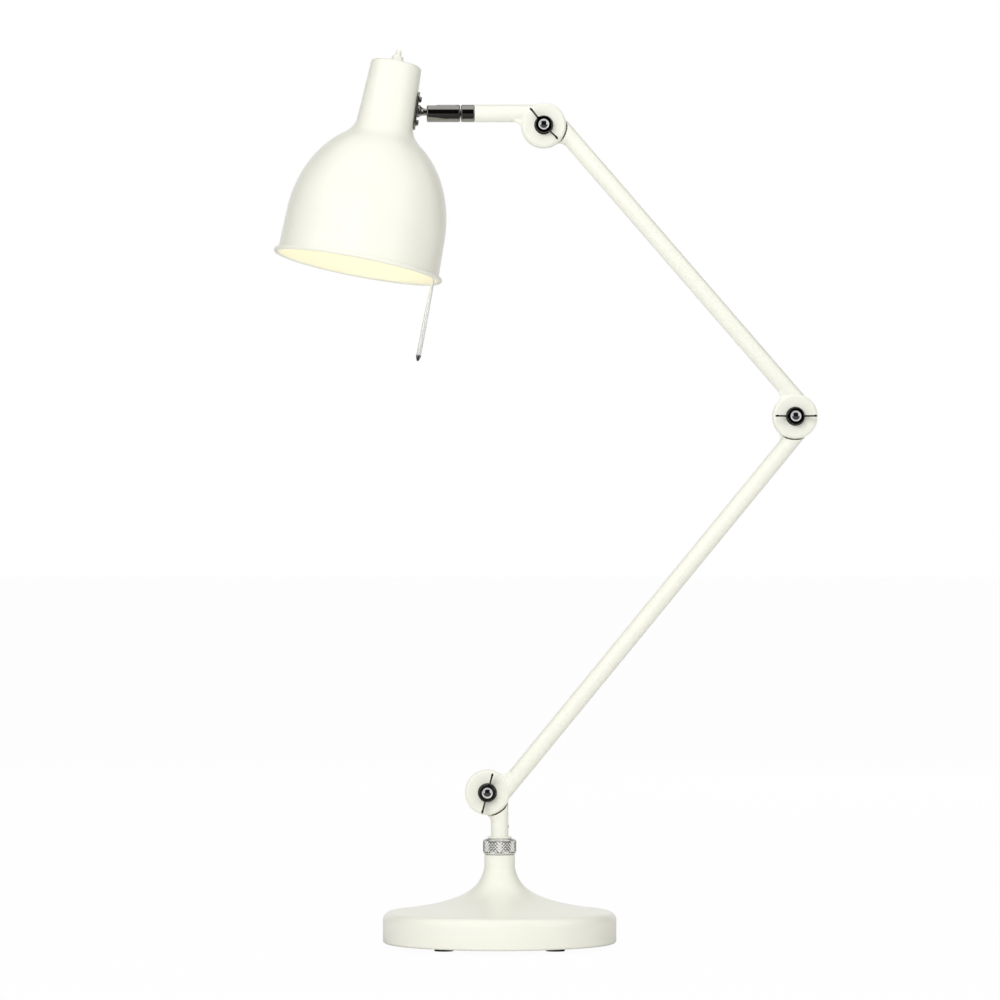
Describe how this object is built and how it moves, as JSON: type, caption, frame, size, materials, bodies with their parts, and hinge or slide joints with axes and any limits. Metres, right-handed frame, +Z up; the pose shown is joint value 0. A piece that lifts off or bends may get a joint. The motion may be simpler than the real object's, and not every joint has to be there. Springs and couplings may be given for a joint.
{
  "type": "adjustable arm desk lamp",
  "caption": "Jointed desk lamp with a weighted round base, two long tubular arms, a short head arm and a bell-shaped shade on a ball swivel.",
  "frame": {"origin": "middle of the base on the table top, at the soles of the feet", "axes": "+Z up; +X to the elbow's side; the wing nuts face -Y and the cable gland faces +Y"},
  "size_m": [0.4354, 0.1889, 0.7191],
  "materials": {
    "cream_paint": "satin enamel",
    "cream_casting": "satin enamel on a casting",
    "chrome": "polished",
    "steel": "turned",
    "iron": "rough cast",
    "rubber": "matt",
    "insulation": "matt",
    "nylon": "matt",
    "brass": "turned",
    "glass": "frosted",
    "glow": "glowing",
    "cream_plastic": "gloss",
    "clear_rod": "polished",
    "blackened": "blackened"
  },
  "bodies": {
    "base": {"base_shell": "cream_paint", "base_weight": "iron", "base_plate": "steel", "base_screws": "steel", "rubber_feet": "rubber", "cord_gland": "rubber", "neck_sleeve": "steel", "sleeve_nut": "steel", "terminal_block": "nylon"},
    "collar": {"swivel_collar": "chrome"},
    "stem": {"stem_tube": "cream_paint", "stem_ring": "cream_paint", "stem_clip": "steel", "stem_knuckle": "cream_casting", "stem_set_screw": "blackened", "stem_lead": "insulation", "lower_bolt": "chrome", "lower_friction_washer": "nylon", "lower_washer": "chrome"},
    "lower_nut": {"lower_wing_nut": "chrome"},
    "lower_arm": {"lower_arm_tube": "cream_paint", "lower_arm_front_knuckle": "cream_casting", "lower_arm_rear_knuckle": "cream_casting", "lower_arm_lead": "insulation", "elbow_bolt": "chrome", "elbow_friction_washer": "nylon", "elbow_washer": "chrome"},
    "elbow_nut": {"elbow_wing_nut": "chrome"},
    "upper_arm": {"upper_arm_tube": "cream_paint", "upper_arm_front_knuckle": "cream_casting", "upper_arm_rear_knuckle": "cream_casting", "upper_arm_lead": "insulation", "top_bolt": "chrome", "top_friction_washer": "nylon", "top_washer": "chrome"},
    "top_nut": {"top_wing_nut": "chrome"},
    "head_arm": {"head_arm_knuckle": "cream_casting", "head_arm_tube": "cream_paint", "head_arm_lead": "insulation", "swivel_spindle": "steel"},
    "lock_ring": {"swivel_lock_ring": "chrome"},
    "barrel": {"swivel_barrel": "chrome", "ball_seat": "nylon"},
    "stud": {"ball_stud": "chrome", "stud_clip": "steel"},
    "shade_head": {"mounting_plate": "chrome", "plate_screws": "chrome", "shade": "cream_paint", "holder_bracket": "steel", "lampholder": "insulation", "holder_contacts": "brass", "bulb_cap": "brass", "bulb_glass": "glass", "bulb_filaments": "glow", "switch_body": "insulation", "switch_bezel": "cream_plastic", "handle_rod": "clear_rod", "handle_tip": "blackened", "handle_clip": "chrome"},
    "button": {"switch_button": "cream_plastic"}
  },
  "joints": [
    {"name": "collar_turn", "type": "hinge", "parent": "base", "child": "collar", "pos_m": [0, 0, 0.08], "axis": [0, 0, 1], "range_deg": [0, 180]},
    {"name": "base_swivel", "type": "hinge", "parent": "base", "child": "stem", "pos_m": [0, 0, 0.08], "axis": [0, 0, 1], "range_deg": [-165, 165]},
    {"name": "lower_joint", "type": "hinge", "parent": "stem", "child": "lower_arm", "pos_m": [-0.0098, 0, 0.1238], "axis": [0, -1, 0], "range_deg": [-8, 70]},
    {"name": "lower_nut_turn", "type": "hinge", "parent": "stem", "child": "lower_nut", "pos_m": [-0.0098, 0, 0.1238], "axis": [0, -1, 0], "range_deg": [0, 360]},
    {"name": "elbow_joint", "type": "hinge", "parent": "lower_arm", "child": "upper_arm", "pos_m": [0.23671, 0, 0.42498], "axis": [0, -1, 0], "range_deg": [-60, 45]},
    {"name": "elbow_nut_turn", "type": "hinge", "parent": "lower_arm", "child": "elbow_nut", "pos_m": [0.23671, 0, 0.42498], "axis": [0, -1, 0], "range_deg": [0, 360]},
    {"name": "top_joint", "type": "hinge", "parent": "upper_arm", "child": "head_arm", "pos_m": [0.03533, 0, 0.65828], "axis": [0, -1, 0], "range_deg": [-60, 45]},
    {"name": "top_nut_turn", "type": "hinge", "parent": "upper_arm", "child": "top_nut", "pos_m": [0.03533, 0, 0.65828], "axis": [0, -1, 0], "range_deg": [0, 360]},
    {"name": "lock_ring_turn", "type": "hinge", "parent": "head_arm", "child": "lock_ring", "pos_m": [-0.05242, 0, 0.66808], "axis": [1, 0, 0], "range_deg": [-45, 0]},
    {"name": "barrel_roll", "type": "hinge", "parent": "head_arm", "child": "barrel", "pos_m": [-0.05242, 0, 0.66808], "axis": [1, 0, 0], "range_deg": [-170, 170]},
    {"name": "ball_tilt", "type": "hinge", "parent": "barrel", "child": "stud", "pos_m": [-0.05242, 0, 0.66808], "axis": [0, 1, 0], "range_deg": [-22, 70]},
    {"name": "shade_spin", "type": "hinge", "parent": "stud", "child": "shade_head", "pos_m": [-0.05242, 0, 0.66808], "axis": [-0.9907, 0, 0.1357], "range_deg": [-90, 90]},
    {"name": "switch_press", "type": "slide", "parent": "shade_head", "child": "button", "axis": [-0.1854, -0.0679, -0.9803], "range_m": [0, 0.0025], "stiffness_N_per_m": 400, "springref_m": -0.001}
  ]
}
